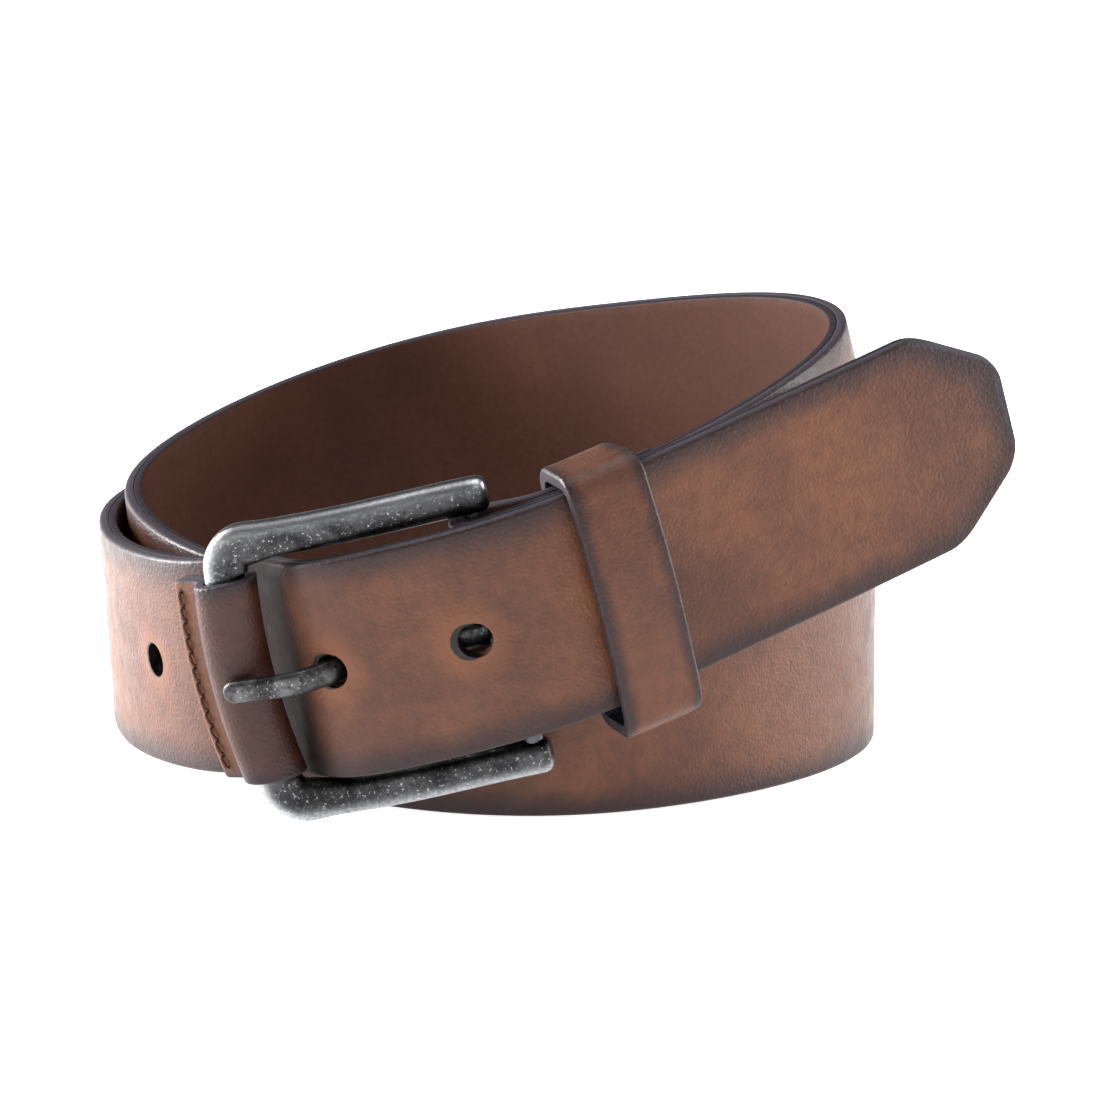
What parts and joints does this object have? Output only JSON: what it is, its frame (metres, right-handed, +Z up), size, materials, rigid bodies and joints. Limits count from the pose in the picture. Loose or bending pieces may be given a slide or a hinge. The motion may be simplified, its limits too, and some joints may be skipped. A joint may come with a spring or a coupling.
{
  "type": "leather belt",
  "caption": "Coiled and fastened leather belt with a rounded pin buckle, a leather sleeve sewn round its front bar, a sliding keeper loop and a punched, clipped tip.",
  "frame": {"origin": "centre of the footprint of the coiled belt, on the surface it rests on", "axes": "+Z up across the strap's width, +X along the coil's longest side, towards the strap's tip; the buckle faces -Y"},
  "size_m": [0.1618, 0.156, 0.0797],
  "materials": {
    "grain_leather": "semi-gloss finished grain, burnished edges",
    "lining_leather": "smooth dark lining",
    "gunmetal_cast": "antiqued gunmetal, satin",
    "steel_bar": "satin",
    "sleeve_leather": "semi-gloss finished grain",
    "cotton_thread": "matt waxed thread",
    "gunmetal_prong": "antiqued gunmetal, satin",
    "keeper_leather": "semi-gloss finished grain",
    "staple_wire": "bright wire"
  },
  "bodies": {
    "strap": {"strap_grain": "grain_leather", "strap_lining": "lining_leather"},
    "buckle": {"buckle_frame": "gunmetal_cast", "heel_bar": "steel_bar", "bar_wrap": "sleeve_leather", "wrap_thread_front": "cotton_thread", "wrap_thread_back": "cotton_thread"},
    "prong": {"prong": "gunmetal_prong"},
    "keeper": {"keeper_loop": "keeper_leather", "keeper_staple": "staple_wire"}
  },
  "joints": [
    {"name": "buckle_swing", "type": "hinge", "parent": "strap", "child": "buckle", "pos_m": [-0.00548, -0.06743, 0.03522], "axis": [-0.2291, -0.075, 0.9705], "range_deg": [-1, 0.8]},
    {"name": "prong_swing", "type": "hinge", "parent": "buckle", "child": "prong", "pos_m": [-0.00548, -0.06743, 0.03522], "axis": [-0.2291, -0.075, 0.9705], "range_deg": [0, 0.7]},
    {"name": "keeper_slide", "type": "hinge", "parent": "strap", "child": "keeper", "pos_m": [-0.01884, 0.01036, 0.04086], "axis": [-0.2901, -0.0982, 0.9519], "range_deg": [-1.5, 6.5]}
  ]
}
